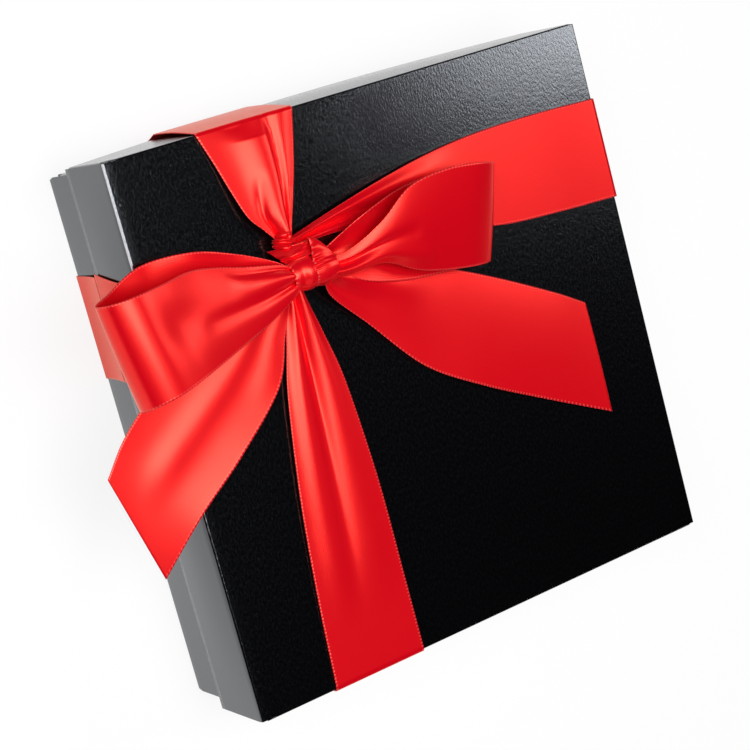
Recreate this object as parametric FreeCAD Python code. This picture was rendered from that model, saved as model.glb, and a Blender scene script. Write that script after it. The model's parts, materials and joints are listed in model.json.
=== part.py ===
# Chocolate box: a two-piece folded paperboard box with its filling, tied round with a satin ribbon and a bow.
# Millimetres. The origin is the middle of the underside, X runs along the lid's back edge, Z points up.
import math
import os

import FreeCAD
import Part

Vector = FreeCAD.Vector
UP = Vector(0, 0, 1)
os.makedirs("parts", exist_ok=True)

# Lid and base, folded from one blank each
lid_width = 200.0
lid_depth = 200.0
skirt_depth = 31.0
base_height = 53.0
board = 0.6
fold_radius = 0.5
tab_length = 22.0
tab_relief = 1.5
lid_play = 1.2
edge_setback = 0.3

# Filling
liner_thickness = 0.5
divider_board = 0.8
divider_height = 38.0
divider_play = 1.5
slot_play = 0.4
cell_columns = 5
cell_rows = 5
chocolate_width = 29.0
chocolate_height = 24.0
chocolate_crest = 4.0
truffle_radius = 15.0
caramel_length = 31.0
caramel_breadth = 22.0
pad_play = 2.5
pad_edge = 4.0
pad_crown = 3.5
pad_draw = 1.5

# Ribbon, and how far in from the lid's left and back edges its bands cross
ribbon_width = 38.0
ribbon_gauge = 0.4
ribbon_ease = 0.3
edge_run = 4.0
back_band_inset = 54.5
front_band_inset = 49.5
right_band_inset = 48.2
left_band_inset = 57.5

# Knot of the bow, a barrel lying along the bow, and the tie behind it where the bands cross
knot_left_inset = 58.0
knot_back_inset = 56.0
knot_lift = 9.0
bow_heading = 2.0
knot_wrap_length = 10.0
knot_wrap_radius = 6.0
knot_tuck_length = 5.0
knot_tuck_radius = 5.4
knot_waist = 0.8
knot_bevel = 2.2
knot_gap = 0.7
tie_shift = -3.5
tie_radius = 5.5
tie_top_radius = 3.6
tie_swell = 0.8
tie_height = 6.5

# Reach and height of the bow's loops and tails
left_loop_reach = 81.0
left_loop_rise = 30.0
right_loop_reach = 81.0
right_loop_rise = 22.0
left_tail_reach = 104.0
left_tail_heading = 218.0
right_tail_reach = 135.0
right_tail_heading = 330.0
tail_start = 7.0
tail_rise = 3.0
band_rise = 4.5

# Rows of stations along the ribbon. First three columns: how far the back edge lies out, aside and up, as
# shares of reach, ribbon width and rise. Next three: the same for the front edge. Last: the crown across.
left_loop_shares = [
    (0.00, -0.17, 0.26, 0.00, 0.11, 0.26, 0.02),
    (0.19, -0.40, 0.19, 0.19, 0.28, 0.20, 0.02),
    (0.41, -0.55, 0.17, 0.44, 0.42, 0.17, 0.01),
    (0.66, -0.59, 0.18, 0.68, 0.48, 0.16, 0.01),
    (0.88, -0.47, 0.30, 0.87, 0.54, 0.26, 0.01),
    (1.00, -0.44, 0.57, 0.94, 0.55, 0.53, 0.01),
    (0.93, -0.44, 0.86, 0.87, 0.51, 0.84, 0.02),
    (0.72, -0.45, 0.93, 0.64, 0.44, 0.90, 0.04),
    (0.49, -0.43, 0.81, 0.40, 0.35, 0.75, 0.06),
    (0.21, -0.28, 0.58, 0.16, 0.25, 0.55, 0.06),
    (0.00, -0.15, 0.41, 0.00, 0.12, 0.40, 0.02),
]
right_loop_shares = [
    (0.00, 0.12, 0.34, 0.00, -0.10, 0.34, 0.03),
    (0.09, 0.18, 0.31, 0.09, -0.13, 0.28, 0.02),
    (0.26, 0.36, 0.28, 0.23, -0.28, 0.25, 0.01),
    (0.54, 0.46, 0.26, 0.48, -0.42, 0.21, 0.01),
    (0.86, 0.43, 0.38, 0.83, -0.51, 0.18, 0.01),
    (1.00, 0.39, 0.75, 0.92, -0.53, 0.28, 0.01),
    (0.89, 0.45, 0.96, 0.80, -0.50, 0.43, 0.02),
    (0.68, 0.51, 0.98, 0.61, -0.42, 0.49, 0.04),
    (0.47, 0.54, 0.93, 0.46, -0.32, 0.52, 0.06),
    (0.29, 0.38, 0.80, 0.29, -0.13, 0.55, 0.06),
    (0.11, 0.15, 0.64, 0.11, -0.11, 0.54, 0.04),
    (0.00, 0.12, 0.58, 0.00, -0.10, 0.54, 0.03),
]
left_tail_shares = [
    (0.00, -0.12, 0.85, 0.00, 0.05, 0.85, 0.02),
    (0.20, -0.38, 0.80, 0.13, 0.20, 0.90, 0.02),
    (0.38, -0.53, 0.70, 0.29, 0.42, 0.85, 0.02),
    (0.58, -0.59, 0.55, 0.57, 0.46, 0.55, 0.02),
    (0.77, -0.58, 0.45, 0.82, 0.43, 0.25, 0.02),
    (0.91, -0.50, 0.15, 1.08, 0.49, -0.30, 0.01),
]
right_tail_shares = [
    (0.00, 0.12, 0.85, 0.00, -0.10, 0.85, 0.02),
    (0.18, 0.30, 0.55, 0.12, -0.22, 0.65, 0.02),
    (0.36, 0.42, 0.35, 0.33, -0.42, 0.40, 0.02),
    (0.57, 0.46, 0.30, 0.56, -0.52, 0.30, 0.02),
    (0.79, 0.47, 0.30, 0.80, -0.53, 0.25, 0.02),
    (0.91, 0.47, 0.35, 1.07, -0.54, 0.40, 0.01),
]
# Columns: how far out, the two half widths, the rise above the lid, and the depth of the gathered folds
back_arm_shares = [
    (0.00, 0.10, 0.08, 0.90, 0.16),
    (0.10, 0.19, 0.13, 0.74, 0.16),
    (0.20, 0.26, 0.17, 0.60, 0.15),
    (0.45, 0.35, 0.28, 0.35, 0.12),
    (0.72, 0.42, 0.37, 0.15, 0.07),
    (1.00, 0.50, 0.50, 0.00, 0.00),
]
right_arm_shares = [
    (0.00, 0.08, 0.06, 0.60, 0.16),
    (0.14, 0.20, 0.06, 0.55, 0.16),
    (0.30, 0.33, 0.12, 0.42, 0.15),
    (0.45, 0.43, 0.28, 0.26, 0.10),
    (0.61, 0.49, 0.43, 0.14, 0.04),
    (0.80, 0.51, 0.48, 0.05, 0.02),
    (1.00, 0.50, 0.50, 0.00, 0.00),
]
front_arm_shares = [
    (0.00, 0.09, 0.09, 0.20, 0.16),
    (0.10, 0.13, 0.17, 0.20, 0.12),
    (0.30, 0.27, 0.33, 0.18, 0.09),
    (0.55, 0.40, 0.44, 0.12, 0.08),
    (0.80, 0.46, 0.48, 0.05, 0.05),
    (1.00, 0.50, 0.50, 0.00, 0.00),
]
left_arm_shares = [
    (0.00, 0.10, 0.10, 0.45, 0.16),
    (0.30, 0.25, 0.25, 0.28, 0.12),
    (0.65, 0.42, 0.42, 0.08, 0.04),
    (1.00, 0.50, 0.50, 0.00, 0.00),
]
arm_folds = 3
fold_steps = 4
station_steps = 4
# Outlines of the chocolates, and of the cushion pad from its front to its back
truffle_shares = [(1.00, 0.00), (1.00, 0.32), (0.84, 0.76), (0.42, 1.00)]
praline_shares = [(1.00, 0.00), (0.92, 0.62), (0.80, 1.00)]
praline_crest_share = 0.45
pad_shares = [
    (-0.50, 1.00, 0.15),
    (-0.25, 0.25, 0.80),
    (0.00, 0.00, 1.00),
    (0.25, 0.25, 0.80),
    (0.50, 1.00, 0.15),
]

# Sizes that follow from those above
base_width = lid_width - 2 * (2 * board + lid_play)
base_depth = lid_depth - 2 * (2 * board + lid_play)
base_floor = ribbon_gauge
lid_top = base_floor + base_height + board
rim_height = lid_top - skirt_depth
back_band_x = back_band_inset - lid_width / 2
front_band_x = front_band_inset - lid_width / 2
right_band_y = lid_depth / 2 - right_band_inset
left_band_y = lid_depth / 2 - left_band_inset
knot_x = knot_left_inset - lid_width / 2
knot_y = lid_depth / 2 - knot_back_inset
knot_length = knot_wrap_length + knot_tuck_length
loop_start = knot_length / 2 + knot_gap
tie_x = knot_x + tie_shift
tie_y = knot_y + knot_wrap_radius + ribbon_ease + tie_radius
liner_width = base_width - 2 * (board + divider_play)
liner_depth = base_depth - 2 * (board + divider_play)
liner_floor = base_floor + board
cell_floor = liner_floor + liner_thickness
column_pitch = liner_width / cell_columns
row_pitch = liner_depth / cell_rows


def save(shape, name):
    print(name, "solids", len(shape.Solids), "volume", round(shape.Volume, 1), "valid", shape.isValid())
    shape.exportStep("parts/" + name + ".step")


def block(low, high):
    size = high.sub(low)
    return Part.makeBox(size.x, size.y, size.z, low)


def line(start, end):
    return Part.LineSegment(start, end).toShape()


def polygon(points):
    return Part.Wire([line(start, end) for start, end in zip(points, points[1:] + points[:1])])


def mean(first, second):
    return first.add(second).multiply(0.5)


def fuse(shapes):
    return shapes[0].multiFuse(shapes[1:]).removeSplitter()


def faceted(rings, twisted):
    # A solid with flat sides through a row of rings; between twisted rings each side takes two triangles
    outlines = [rings[0], rings[-1]]
    for near, far in zip(rings, rings[1:]):
        for i in range(len(near)):
            if twisted:
                outlines.append([near[i - 1], near[i], far[i]])
                outlines.append([near[i - 1], far[i], far[i - 1]])
            else:
                outlines.append([near[i - 1], near[i], far[i], far[i - 1]])
    shell = Part.makeShell([Part.Face(polygon(outline)) for outline in outlines])
    shell.sewShape()
    return Part.makeSolid(shell)


# Box

def carton(width, depth, height):
    # An open tray: the two end walls carry tabs that fold round the corners inside the two side walls
    half_x = width / 2
    half_y = depth / 2
    floor = block(Vector(-half_x, -half_y, 0), Vector(half_x, half_y, board))
    folds = [edge for edge in floor.Edges if edge.BoundBox.ZMax < board / 2]
    pieces = [floor.makeFillet(fold_radius, folds)]
    for side in (-1, 1):
        inner = side * (half_x - board)
        low = Vector(min(inner, side * half_x), edge_setback - half_y, board)
        pieces.append(block(low, Vector(low.x + board, half_y - edge_setback, height)))
    for end in (-1, 1):
        near = end * (half_y - board)
        tab_end = end * (half_y - tab_length)
        wall = block(
            Vector(board - half_x, min(near, end * half_y), board),
            Vector(half_x - board, max(near, end * half_y), height),
        )
        tabs = []
        for side in (-1, 1):
            outer = side * (half_x - board)
            inner = side * (half_x - 2 * board)
            low = Vector(min(outer, inner), min(near, tab_end), board)
            high = Vector(max(outer, inner), max(near, tab_end), height - tab_relief)
            tabs.append(block(low, high))
        bent = wall.multiFuse(tabs).removeSplitter()
        corners = [edge for edge in bent.Edges if upright_at(edge, half_x - board, half_y)]
        pieces.append(bent.makeFillet(fold_radius, corners))
    return fuse(pieces)


def upright_at(edge, x, y):
    box = edge.BoundBox
    upright = box.ZLength > board and box.XLength < board / 2 and box.YLength < board / 2
    return upright and abs(abs(box.Center.x) - x) < board / 2 and abs(abs(box.Center.y) - y) < board / 4


def lid():
    shape = carton(lid_width, lid_depth, skirt_depth)
    shape.rotate(Vector(0, 0, 0), Vector(1, 0, 0), 180)
    shape.translate(UP * lid_top)
    return shape


def base():
    shape = carton(base_width, base_depth, base_height)
    shape.translate(UP * base_floor)
    return shape


# Filling

def liner():
    low = Vector(-liner_width / 2, -liner_depth / 2, liner_floor)
    return block(low, Vector(liner_width / 2, liner_depth / 2, cell_floor))


def divider(length, crossings, slot_low, slot_high):
    # A card strip along X, notched to half its height at every crossing strip
    half = divider_board / 2
    strip = block(Vector(-length / 2, -half, 0), Vector(length / 2, half, divider_height))
    slot_half = half + slot_play / 2
    slots = []
    for at in crossings:
        slots.append(block(Vector(at - slot_half, -half, slot_low), Vector(at + slot_half, half, slot_high)))
    return strip.cut(slots)


def dividers():
    columns = [column_pitch * (i - cell_columns / 2) for i in range(1, cell_columns)]
    rows = [row_pitch * (i - cell_rows / 2) for i in range(1, cell_rows)]
    middle = divider_height / 2
    for number, y in enumerate(rows, 1):
        strip = divider(liner_width, columns, middle - slot_play / 2, divider_height)
        strip.translate(Vector(0, y, cell_floor))
        save(strip, "divider_row_%d" % number)
    for number, x in enumerate(columns, 1):
        strip = divider(liner_depth, rows, 0, middle + slot_play / 2)
        strip.rotate(Vector(0, 0, 0), UP, 90)
        strip.translate(Vector(x, 0, cell_floor))
        save(strip, "divider_column_%d" % number)


def truffle():
    points = [Vector(truffle_radius * out, 0, chocolate_height * up) for out, up in truffle_shares]
    outline = polygon([Vector(0, 0, 0)] + points + [Vector(0, 0, chocolate_height)])
    return Part.Face(outline).revolve(Vector(0, 0, 0), UP, 360)


def rectangle(length, breadth, height):
    corners = [(-1, -1), (1, -1), (1, 1), (-1, 1)]
    return [Vector(length / 2 * x, breadth / 2 * y, height) for x, y in corners]


def praline():
    # A moulded square with drafted sides and a smaller raised square on top
    rings = []
    for out, up in praline_shares:
        rings.append(rectangle(chocolate_width * out, chocolate_width * out, chocolate_height * up))
    crest_width = chocolate_width * praline_crest_share
    foot = rectangle(crest_width, crest_width, chocolate_height)
    tip = rectangle(crest_width / 2, crest_width / 2, chocolate_height + chocolate_crest)
    return fuse([faceted(rings, False), faceted([foot, tip], False)])


def caramel():
    # A cut slab with drafted sides and a ridge along the top
    top = chocolate_height + chocolate_crest
    shorter = caramel_length - chocolate_crest
    foot = rectangle(caramel_length, caramel_breadth, 0)
    shoulder = rectangle(shorter, caramel_breadth - chocolate_crest, chocolate_height)
    crest = rectangle(shorter - chocolate_crest, chocolate_crest, top)
    return faceted([foot, shoulder, crest], False)


def chocolates():
    kinds = {"truffles": truffle(), "pralines": praline(), "caramels": caramel()}
    names = list(kinds)
    placed = {name: [] for name in names}
    for row in range(cell_rows):
        for column in range(cell_columns):
            name = names[(row + column) % len(names)]
            x = column_pitch * (column + 0.5 - cell_columns / 2)
            y = row_pitch * (row + 0.5 - cell_rows / 2)
            placed[name].append(kinds[name].translated(Vector(x, y, cell_floor)))
    for name in names:
        save(Part.makeCompound(placed[name]), "chocolate_" + name)


def pad():
    # A flat-bottomed cushion: crowned top, sides drawn in between the corners
    width = liner_width - 2 * pad_play
    depth = liner_depth - 2 * pad_play
    floor = cell_floor + divider_height
    sections = []
    for along, spread, crown in pad_shares:
        half = width / 2 - pad_draw * (1 - spread)
        y = depth * along
        low = [Vector(side * half, y, floor) for side in (-1, 1)]
        high = [point.add(UP * pad_edge) for point in low]
        crest = Vector(0, y, floor + pad_edge + pad_crown * crown)
        top = Part.Arc(high[1], crest, high[0]).toShape()
        sections.append(Part.Wire([line(low[0], low[1]), line(low[1], high[1]), top, line(high[0], low[0])]))
    return Part.makeLoft(sections, True, False)


# Ribbon

def sheet_section(first, last, normal, crown, folds):
    # The cut end of a ribbon of even thickness, arched once or gathered into several folds
    count = folds * fold_steps
    across = last.sub(first)
    under = []
    for i in range(count + 1):
        t = i % fold_steps / fold_steps
        bulge = 4 * t * (1 - t)
        under.append(first.add(across * (i / count)).add(normal * (crown * bulge)))
    over = [point.add(normal * ribbon_gauge) for point in reversed(under)]
    return under + over


def heading_vectors(heading):
    angle = math.radians(heading)
    return Vector(math.cos(angle), math.sin(angle), 0), Vector(-math.sin(angle), math.cos(angle), 0)


def eased(rows):
    # Catmull-Rom curves through every column, with further stations between the given ones
    before = [2 * a - b for a, b in zip(rows[0], rows[1])]
    after = [2 * a - b for a, b in zip(rows[-1], rows[-2])]
    row = [before] + [list(each) for each in rows] + [after]
    fine = []
    for i in range(1, len(row) - 2):
        for step in range(station_steps):
            t = step / station_steps
            weights = (
                (2 * t - t * t - 1) * t / 2,
                ((3 * t - 5) * t * t + 2) / 2,
                ((4 - 3 * t) * t + 1) * t / 2,
                (t - 1) * t * t / 2,
            )
            columns = zip(row[i - 1], row[i], row[i + 1], row[i + 2])
            fine.append([sum(w * value for w, value in zip(weights, column)) for column in columns])
    fine.append(list(rows[-1]))
    return fine


def stretch(shares, heading, start, reach, rise, turn):
    # A free stretch of the bow from the knot outwards, and for a loop back again
    outward, sideways = heading_vectors(heading)
    root = Vector(knot_x, knot_y, lid_top)
    rows = eased(shares)
    pairs = []
    for row in rows:
        pair = []
        for along, side, up in (row[:3], row[3:6]):
            out = start + (reach - start) * along
            pair.append(root.add(outward * out).add(sideways * (side * ribbon_width)).add(UP * (up * rise)))
        pairs.append(pair)
    middles = [mean(back, front) for back, front in pairs]
    sections = []
    for i, (back, front) in enumerate(pairs):
        before = middles[max(i - 1, 0)]
        after = middles[min(i + 1, len(middles) - 1)]
        normal = front.sub(back).cross(after.sub(before)).normalize() * turn
        sections.append(sheet_section(back, front, normal, rows[i][6] * ribbon_width, 1))
    return faceted(sections, True)


def strap(half_lid):
    # The flat end of a band seen from the side: along the lid, over its fold and down the skirt
    turn_x = half_lid - fold_radius
    turn_z = lid_top - fold_radius
    start = turn_x - edge_run
    inner = fold_radius + ribbon_ease
    outer = inner + ribbon_gauge
    slope = math.sqrt(0.5)
    inner_arc = Part.Arc(
        Vector(turn_x, 0, turn_z + inner),
        Vector(turn_x + inner * slope, 0, turn_z + inner * slope),
        Vector(turn_x + inner, 0, turn_z),
    ).toShape()
    outer_arc = Part.Arc(
        Vector(turn_x + outer, 0, turn_z),
        Vector(turn_x + outer * slope, 0, turn_z + outer * slope),
        Vector(turn_x, 0, turn_z + outer),
    ).toShape()
    outline = Part.Wire([
        line(Vector(start, 0, turn_z + inner), Vector(turn_x, 0, turn_z + inner)),
        inner_arc,
        line(Vector(turn_x + inner, 0, turn_z), Vector(turn_x + inner, 0, rim_height)),
        line(Vector(turn_x + inner, 0, rim_height), Vector(turn_x + outer, 0, rim_height)),
        line(Vector(turn_x + outer, 0, rim_height), Vector(turn_x + outer, 0, turn_z)),
        outer_arc,
        line(Vector(turn_x, 0, turn_z + outer), Vector(start, 0, turn_z + outer)),
        line(Vector(start, 0, turn_z + outer), Vector(start, 0, turn_z + inner)),
    ])
    return across_ribbon(outline), start


def across_ribbon(outline):
    band = Part.Face(outline).extrude(Vector(0, ribbon_width, 0))
    return band.translated(Vector(0, -ribbon_width / 2, 0))


def riser(half_lid, half_base):
    # Below the lid's rim the band leans in to the bottom edge of the base
    top = rim_height - ribbon_ease
    high = half_lid + ribbon_ease
    low = half_base + ribbon_ease
    return across_ribbon(polygon([
        Vector(high, 0, top),
        Vector(high + ribbon_gauge, 0, top),
        Vector(low + ribbon_gauge, 0, base_floor),
        Vector(low, 0, base_floor),
    ]))


def arm(shares, heading, half_lid, band_offset):
    # From the tie the gathered ribbon fans out to its full width and folds over the edge of the lid
    outward, sideways = heading_vectors(heading)
    edge_strap, start = strap(half_lid)
    edge_strap.rotate(Vector(0, 0, 0), UP, heading)
    edge_strap.translate(sideways * band_offset)
    gather = Vector(tie_x, tie_y, 0)
    near = gather.dot(outward) + tie_radius + ribbon_ease
    drift = gather.dot(sideways)
    sections = []
    for along, left, right, up, depth in eased(shares):
        middle = outward * (near + (start - near) * along)
        middle = middle.add(sideways * (drift + (band_offset - drift) * along))
        middle = middle.add(UP * (lid_top + ribbon_ease + up * band_rise))
        fold_width = (left + right) * ribbon_width / arm_folds
        first = middle.add(sideways * (left * ribbon_width))
        last = middle.sub(sideways * (right * ribbon_width))
        sections.append(sheet_section(first, last, UP, depth * fold_width, arm_folds))
    return faceted(sections, True).fuse(edge_strap)


def bands():
    half_x = lid_width / 2
    half_y = lid_depth / 2
    layout = [
        ("right", 0, half_x, base_width / 2, right_band_y, right_arm_shares),
        ("back", 90, half_y, base_depth / 2, -back_band_x, back_arm_shares),
        ("left", 180, half_x, base_width / 2, -left_band_y, left_arm_shares),
        ("front", 270, half_y, base_depth / 2, front_band_x, front_arm_shares),
    ]
    for name, heading, half_lid, half_base, offset, shares in layout:
        save(arm(shares, heading, half_lid, offset), "ribbon_arm_" + name)
        low = riser(half_lid, half_base)
        low.rotate(Vector(0, 0, 0), UP, heading)
        low.translate(heading_vectors(heading)[1] * offset)
        save(low, "ribbon_riser_" + name)


def underside():
    # The two bands crossing under the base
    reach_x = base_width / 2 + ribbon_ease + ribbon_gauge
    reach_y = base_depth / 2 + ribbon_ease + ribbon_gauge
    half = ribbon_width / 2
    along_x = polygon([
        Vector(-reach_x, left_band_y - half, 0),
        Vector(reach_x, right_band_y - half, 0),
        Vector(reach_x, right_band_y + half, 0),
        Vector(-reach_x, left_band_y + half, 0),
    ])
    along_y = polygon([
        Vector(front_band_x - half, -reach_y, 0),
        Vector(front_band_x + half, -reach_y, 0),
        Vector(back_band_x + half, reach_y, 0),
        Vector(back_band_x - half, reach_y, 0),
    ])
    return fuse([Part.Face(outline).extrude(UP * ribbon_gauge) for outline in (along_x, along_y)])


def knot():
    # The wrap round the middle of the bow and the tuck beside it, turned about the bow's own line
    left = -knot_length / 2
    seam = left + knot_wrap_length
    right = seam + knot_tuck_length
    wrap_end = knot_wrap_radius - knot_waist
    tuck_end = knot_tuck_radius - knot_waist
    outline = polygon([
        Vector(left, 0, 0),
        Vector(left, 0, wrap_end),
        Vector(left + knot_bevel, 0, knot_wrap_radius),
        Vector(seam - knot_bevel, 0, knot_wrap_radius),
        Vector(seam, 0, wrap_end),
        Vector(seam, 0, tuck_end),
        Vector((seam + right) / 2, 0, knot_tuck_radius),
        Vector(right, 0, tuck_end),
        Vector(right, 0, 0),
    ])
    shape = Part.Face(outline).revolve(Vector(0, 0, 0), Vector(1, 0, 0), 360)
    shape.rotate(Vector(0, 0, 0), UP, bow_heading)
    shape.translate(Vector(knot_x, knot_y, lid_top + knot_lift))
    return shape


def tie():
    # The first half knot, where the four arms come together
    side_radius = (tie_radius + tie_top_radius) / 2 + tie_swell
    outline = polygon([
        Vector(0, 0, 0),
        Vector(tie_radius, 0, 0),
        Vector(side_radius, 0, tie_height / 2),
        Vector(tie_top_radius, 0, tie_height),
        Vector(0, 0, tie_height),
    ])
    shape = Part.Face(outline).revolve(Vector(0, 0, 0), UP, 360)
    shape.translate(Vector(tie_x, tie_y, lid_top + ribbon_ease))
    return shape


def bow():
    save(knot(), "ribbon_knot")
    save(tie(), "ribbon_tie")
    loops = [
        ("left", left_loop_shares, bow_heading + 180, left_loop_reach, left_loop_rise, 1),
        ("right", right_loop_shares, bow_heading, right_loop_reach, right_loop_rise, -1),
    ]
    for name, shares, heading, reach, rise, turn in loops:
        save(stretch(shares, heading, loop_start, reach, rise, turn), "ribbon_loop_" + name)
    tails = [
        ("left", left_tail_shares, left_tail_heading, left_tail_reach, -1),
        ("right", right_tail_shares, right_tail_heading, right_tail_reach, 1),
    ]
    for name, shares, heading, reach, turn in tails:
        save(stretch(shares, heading, tail_start, reach, tail_rise, turn), "ribbon_tail_" + name)


save(base(), "base_tray")
save(lid(), "lid")
save(liner(), "liner")
dividers()
chocolates()
save(pad(), "cushion_pad")
save(underside(), "ribbon_underside")
bands()
bow()
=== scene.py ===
import json
import math

import bpy
import numpy as np
from mathutils import Matrix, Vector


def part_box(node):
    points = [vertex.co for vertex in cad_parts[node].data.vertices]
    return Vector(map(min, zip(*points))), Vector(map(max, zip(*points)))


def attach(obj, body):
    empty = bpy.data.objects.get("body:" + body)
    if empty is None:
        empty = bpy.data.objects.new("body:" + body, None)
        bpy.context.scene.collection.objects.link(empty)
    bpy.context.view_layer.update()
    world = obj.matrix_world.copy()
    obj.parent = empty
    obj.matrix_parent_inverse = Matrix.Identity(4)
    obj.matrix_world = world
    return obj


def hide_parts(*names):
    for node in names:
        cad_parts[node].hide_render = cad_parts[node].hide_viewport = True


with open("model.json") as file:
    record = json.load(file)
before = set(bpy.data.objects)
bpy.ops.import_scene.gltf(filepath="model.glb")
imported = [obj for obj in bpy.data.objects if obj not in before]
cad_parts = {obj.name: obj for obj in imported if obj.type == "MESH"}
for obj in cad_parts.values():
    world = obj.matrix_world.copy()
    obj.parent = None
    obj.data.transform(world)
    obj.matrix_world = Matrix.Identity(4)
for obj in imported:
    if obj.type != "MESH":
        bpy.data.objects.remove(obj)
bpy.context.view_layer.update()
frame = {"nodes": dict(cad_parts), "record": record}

# Looks of the tied chocolate box. Lengths of its pieces are in millimetres, which mm turns into metres;
# the studio is in metres.
mm = 0.001
lidLow, lidHigh = (np.array(corner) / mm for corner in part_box("lid"))
baseLow, baseHigh = (np.array(corner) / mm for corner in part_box("base_tray"))
padLow, padHigh = (np.array(corner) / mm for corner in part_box("cushion_pad"))
lidTop = lidHigh[2]
rimHeight = lidLow[2]
up = np.array([0.0, 0.0, 1.0])


# Mesh tools

def gridQuads(rows, columns, keep=None):
    # one quad per cell of a grid; its normal is the row direction crossed with the column direction
    index = np.arange(rows * columns).reshape(rows, columns)
    quads = np.stack([index[:-1, :-1], index[1:, :-1], index[1:, 1:], index[:-1, 1:]], axis=-1)
    return quads[keep] if keep is not None else quads.reshape(-1, 4)


def makePiece(name, points, quads, uv=None, attributes=None):
    mesh = bpy.data.meshes.new(name)
    mesh.from_pydata((points * mm).tolist(), [], quads.tolist())
    if uv is not None:
        layer = mesh.uv_layers.new(name="UVMap")
        layer.data.foreach_set("uv", uv[quads.reshape(-1)].astype(np.float32).ravel())
    for key, values in (attributes or {}).items():
        attribute = mesh.attributes.new(key, "FLOAT", "POINT")
        attribute.data.foreach_set("value", values.astype(np.float32).ravel())
    mesh.polygons.foreach_set("use_smooth", np.ones(len(quads), bool))
    mesh.update()
    piece = bpy.data.objects.new(name, mesh)
    bpy.context.scene.collection.objects.link(piece)
    return piece


def addModifier(piece, kind, **settings):
    modifier = piece.modifiers.new(kind.lower(), kind)
    for key, value in settings.items():
        setattr(modifier, key, value)


def throughRows(rows, steps):
    # Catmull-Rom curve through every column of a table, with even steps between its rows
    rows = np.array(rows, float)
    padded = np.vstack([2 * rows[0] - rows[1], rows, 2 * rows[-1] - rows[-2]])
    t = np.linspace(0, len(rows) - 1, (len(rows) - 1) * steps + 1)
    i = np.minimum(t.astype(int), len(rows) - 2)
    f = (t - i)[:, None]
    a, b, c, d = padded[i], padded[i + 1], padded[i + 2], padded[i + 3]
    return b + 0.5 * f * (c - a + f * (2 * a - 5 * b + 4 * c - d + f * (3 * (b - c) + d - a)))


def smooth(low, high, x):
    t = np.clip((x - low) / (high - low), 0, 1)
    return t * t * (3 - 2 * t)


def unit(vectors):
    return vectors / np.linalg.norm(vectors, axis=-1, keepdims=True)


def heading(degrees):
    # unit vectors along a heading on the lid and to the left of it
    along, aside = math.cos(math.radians(degrees)), math.sin(math.radians(degrees))
    return np.array([along, aside, 0.0]), np.array([-aside, along, 0.0])


# Material tools

def newMaterial(name):
    material = bpy.data.materials.new(name)
    material.use_nodes = True
    tree = material.node_tree
    tree.nodes.clear()
    output = addNode(tree, "OutputMaterial")
    shader = addNode(tree, "BsdfPrincipled")
    tree.links.new(shader.outputs[0], output.inputs[0])
    return material, tree, shader


def addNode(tree, kind, settings=None, **sockets):
    node = tree.nodes.new("ShaderNode" + kind)
    for key, value in (settings or {}).items():
        setattr(node, key, value)
    for key, value in sockets.items():
        setSocket(tree, node.inputs[key], value)
    return node


def setSocket(tree, socket, value):
    if isinstance(value, bpy.types.NodeSocket):
        tree.links.new(value, socket)
    else:
        socket.default_value = value


def maths(tree, operation, first, second=0.5, third=0.5):
    node = addNode(tree, "Math", {"operation": operation})
    for socket, value in zip(node.inputs, (first, second, third)):
        setSocket(tree, socket, value)
    return node.outputs[0]


def ramp(tree, factor, low, high, toLow=0.0, toHigh=1.0):
    node = addNode(tree, "MapRange", {"interpolation_type": "SMOOTHSTEP"})
    limits = {"Value": factor, "From Min": low, "From Max": high, "To Min": toLow, "To Max": toHigh}
    for key, value in limits.items():
        setSocket(tree, node.inputs[key], value)
    return node.outputs[0]


def objectPlace(tree):
    return addNode(tree, "TexCoord").outputs["Object"]


def noise(tree, place, scale, detail, roughness=0.5):
    node = addNode(tree, "TexNoise", Vector=place, Scale=scale, Detail=detail, Roughness=roughness)
    return node.outputs[0]


def mixColour(tree, factor, first, second):
    # sockets 6 and 7 are the node's two colours, output 2 is their mix
    node = addNode(tree, "Mix", {"data_type": "RGBA"})
    setSocket(tree, node.inputs[0], factor)
    setSocket(tree, node.inputs[6], first)
    setSocket(tree, node.inputs[7], second)
    return node.outputs[2]


def newGroup(name, inputs, outputs):
    group = bpy.data.node_groups.new(name, "ShaderNodeTree")
    for key, kind, value in inputs:
        socket = group.interface.new_socket(key, in_out="INPUT", socket_type=kind)
        if value is not None:
            socket.default_value = value
    for key, kind in outputs:
        group.interface.new_socket(key, in_out="OUTPUT", socket_type=kind)
    return group, group.nodes.new("NodeGroupInput").outputs, group.nodes.new("NodeGroupOutput").inputs


def useGroup(tree, group, **sockets):
    node = tree.nodes.new("ShaderNodeGroup")
    node.node_tree = group
    for key, value in sockets.items():
        setSocket(tree, node.inputs[key], value)
    return node.outputs


def dress(tree, shader, colour, rough, height, strength, distance):
    # colour and roughness go onto the shader, the height through a bump onto its normal
    bump = addNode(tree, "Bump", Height=height, Strength=strength, Distance=distance)
    for key, value in (("Base Color", colour), ("Roughness", rough), ("Normal", bump.outputs[0])):
        setSocket(tree, shader.inputs[key], value)


grainLook = {
    "grain": 900.0, "stretch": 0.45, "tooth": 3600.0, "toothShare": 0.25, "sway": 22.0, "swayShare": 1.6,
}


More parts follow.
